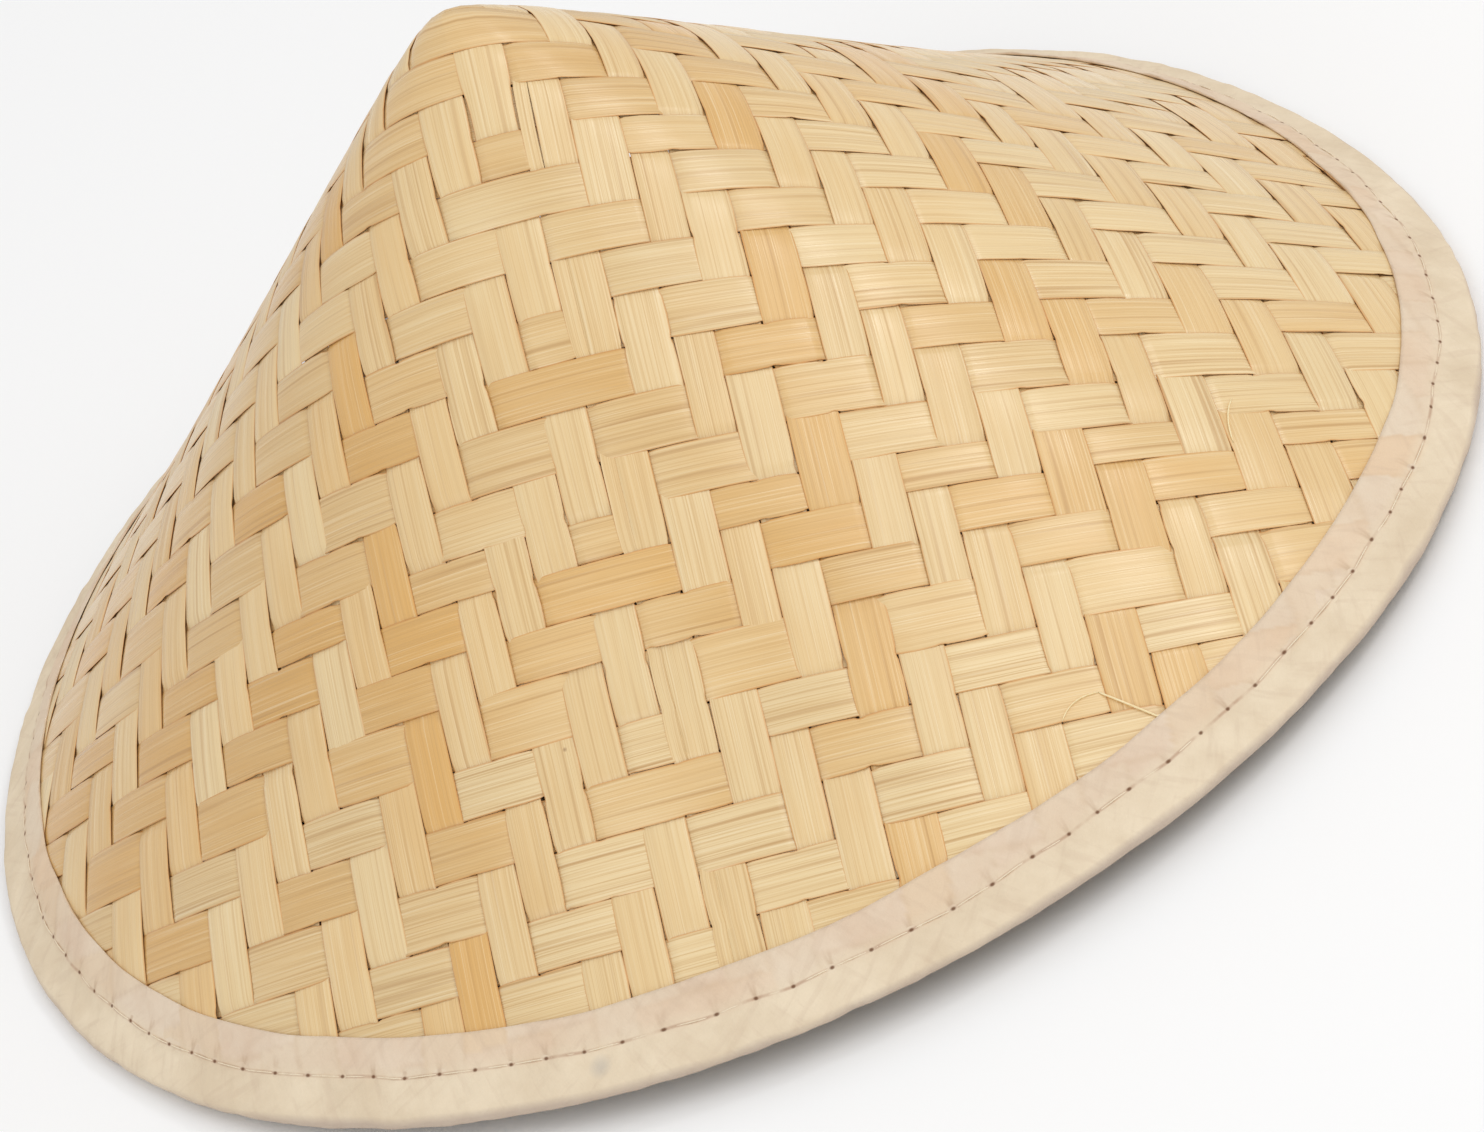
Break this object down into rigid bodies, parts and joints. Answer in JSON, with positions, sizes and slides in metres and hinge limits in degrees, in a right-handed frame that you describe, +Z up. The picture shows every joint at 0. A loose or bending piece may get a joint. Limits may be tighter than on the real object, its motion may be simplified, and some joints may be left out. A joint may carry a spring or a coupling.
{
  "type": "conical straw hat",
  "caption": "Conical sun hat of woven bamboo strip: an open hollow cone with a shallow blunt tip, and a folded cotton tape sewn over its round rim.",
  "frame": {"origin": "on the surface that the hat rests on, under the middle of its box", "axes": "+Z up through the tip, -Y towards the front; the lap of the mat is at the back, and the rim touches the surface at its left and right"},
  "size_m": [0.3544, 0.3608, 0.1533],
  "materials": {
    "bamboo_strip": "natural split bamboo, satin",
    "cotton_tape": "plain unbleached cotton, matt"
  },
  "bodies": {
    "root": {"woven_cone": "bamboo_strip", "rim_binding": "cotton_tape"}
  },
  "joints": []
}
